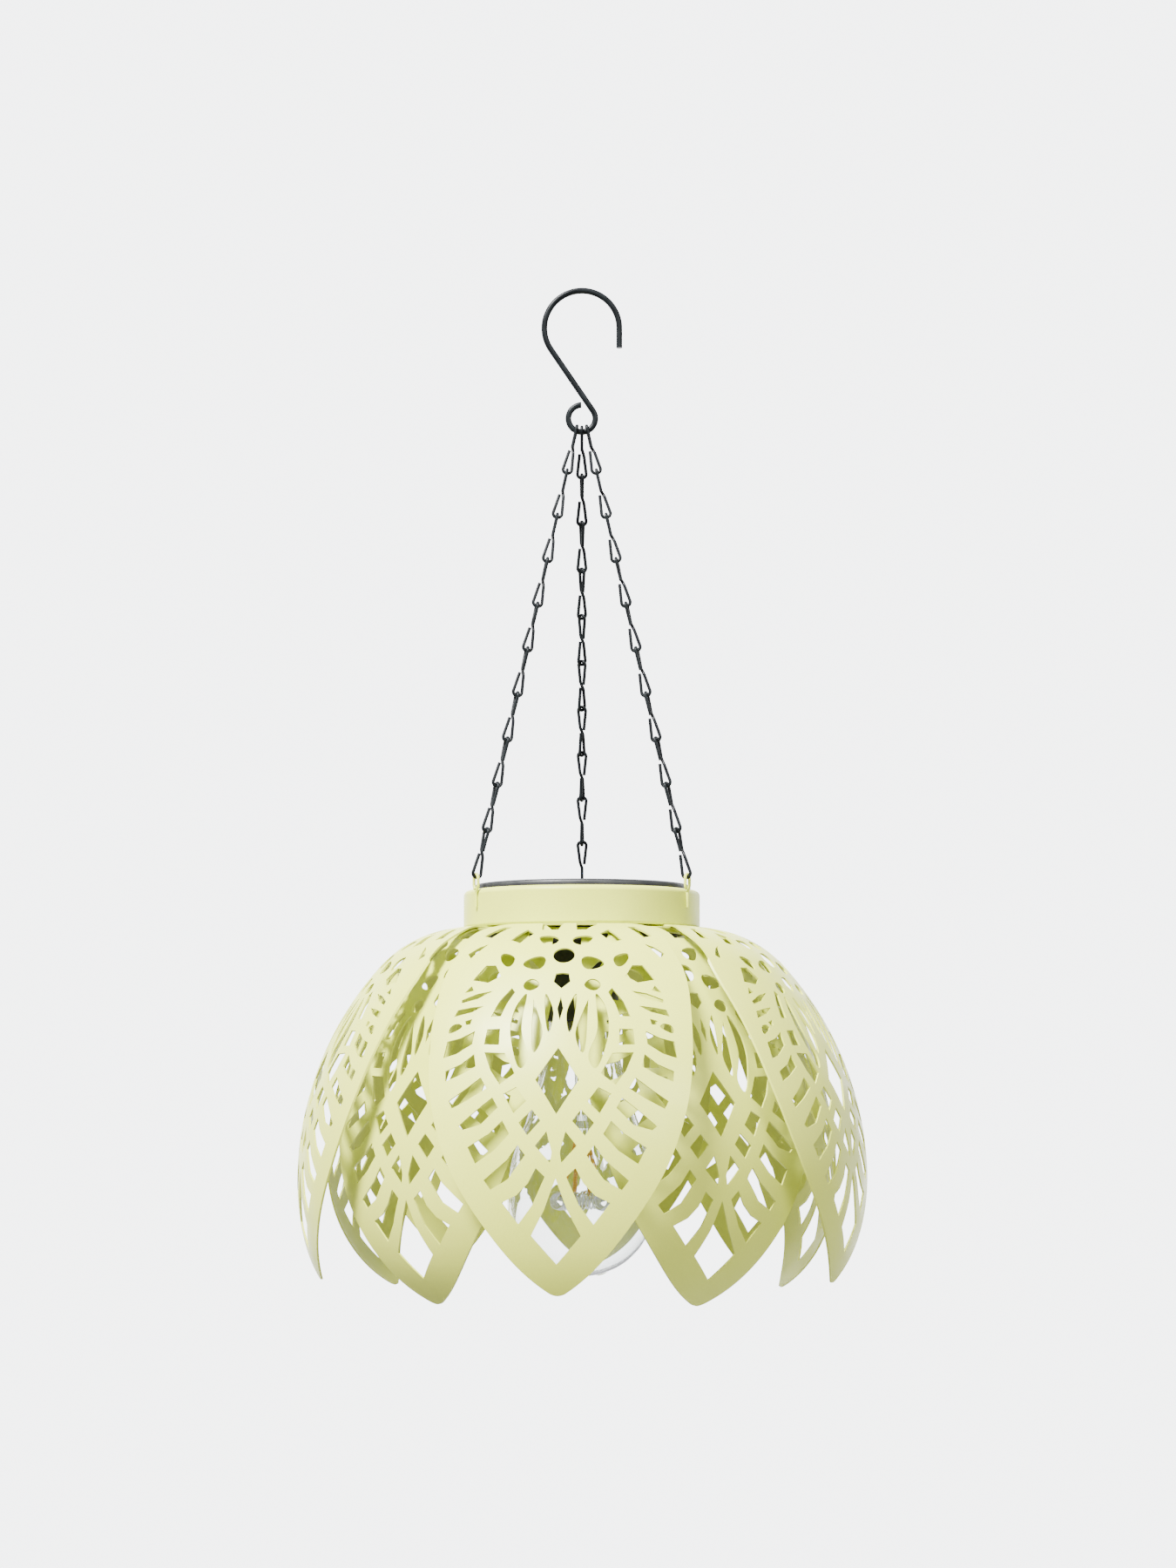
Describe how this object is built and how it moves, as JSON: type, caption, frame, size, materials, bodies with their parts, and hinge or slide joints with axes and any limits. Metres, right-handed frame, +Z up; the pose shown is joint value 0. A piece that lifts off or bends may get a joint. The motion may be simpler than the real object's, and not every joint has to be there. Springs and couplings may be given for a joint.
{
  "type": "hanging solar lantern",
  "caption": "Hanging solar lantern: lace-cut sheet-metal petals under a round solar head, clear bulb, jack chains gathered on a wire hook.",
  "frame": {"origin": "inside of the hook's bow at its top, where a rod or branch carries the lantern", "axes": "+Z up along the hanging line, hook's plane is XZ, -Y is the front"},
  "size_m": [0.2483, 0.2459, 0.4391],
  "materials": {
    "black_wire": "satin black paint on steel wire",
    "citron_paint": "pale citron powder coat on steel sheet, low sheen",
    "rivet_metal": "plain blind rivets",
    "seat_steel": "plain zinc-plated steel",
    "black_plastic": "fine-grained black moulding",
    "solar_silicon": "dark blue polycrystalline silicon with silver fingers",
    "clear_resin": "clear cast resin",
    "screw_steel": "small pan-head screws",
    "battery_wrap": "plain printed sleeve without text",
    "contact_nickel": "nickel-plated spring steel",
    "board_green": "solder resist",
    "bulb_glass": "clear blown glass",
    "stem_glass": "clear pressed glass stem",
    "filament_amber": "amber phosphor on LED filaments",
    "switch_plastic": "moulded slider"
  },
  "bodies": {
    "hook": {"hook": "black_wire"},
    "lantern": {"chain_left_link_01": "black_wire", "chain_left_link_02": "black_wire", "chain_left_link_03": "black_wire", "chain_left_link_04": "black_wire", "chain_left_link_05": "black_wire", "chain_left_link_06": "black_wire", "chain_left_link_07": "black_wire", "chain_left_link_08": "black_wire", "chain_left_link_09": "black_wire", "chain_left_link_10": "black_wire", "chain_right_link_01": "black_wire", "chain_right_link_02": "black_wire", "chain_right_link_03": "black_wire", "chain_right_link_04": "black_wire", "chain_right_link_05": "black_wire", "chain_right_link_06": "black_wire", "chain_right_link_07": "black_wire", "chain_right_link_08": "black_wire", "chain_right_link_09": "black_wire", "chain_right_link_10": "black_wire", "chain_back_link_01": "black_wire", "chain_back_link_02": "black_wire", "chain_back_link_03": "black_wire", "chain_back_link_04": "black_wire", "chain_back_link_05": "black_wire", "chain_back_link_06": "black_wire", "chain_back_link_07": "black_wire", "chain_back_link_08": "black_wire", "chain_back_link_09": "black_wire", "chain_back_link_10": "black_wire", "collar": "citron_paint", "chain_eyes": "citron_paint", "outer_petal_1": "citron_paint", "outer_petal_2": "citron_paint", "outer_petal_3": "citron_paint", "outer_petal_4": "citron_paint", "outer_petal_5": "citron_paint", "inner_petal_1": "citron_paint", "inner_petal_2": "citron_paint", "inner_petal_3": "citron_paint", "inner_petal_4": "citron_paint", "inner_petal_5": "citron_paint", "petal_ring": "citron_paint", "petal_rivets": "rivet_metal", "head_seat": "seat_steel"},
    "solar_head": {"head_housing": "black_plastic", "solar_cell": "solar_silicon", "cell_window": "clear_resin", "head_base": "black_plastic", "battery_door": "black_plastic", "base_screws": "screw_steel", "battery": "battery_wrap", "battery_contacts": "contact_nickel", "circuit_board": "board_green", "lamp_holder": "black_plastic", "bulb": "bulb_glass", "filament_stem": "stem_glass", "filaments": "filament_amber"},
    "switch": {"switch_slider": "switch_plastic"}
  },
  "joints": [
    {"name": "hook_swing", "type": "hinge", "parent": "hook", "child": "lantern", "pos_m": [0, 0, -0.0546], "axis": [0, 1, 0], "range_deg": [-30, 30]},
    {"name": "head_twist", "type": "hinge", "parent": "lantern", "child": "solar_head", "pos_m": [0, 0, -0.278], "axis": [0, 0, 1], "range_deg": [-30, 0]},
    {"name": "switch_slide", "type": "slide", "parent": "solar_head", "child": "switch", "axis": [1, 0, 0], "range_m": [0, 0.003]}
  ]
}
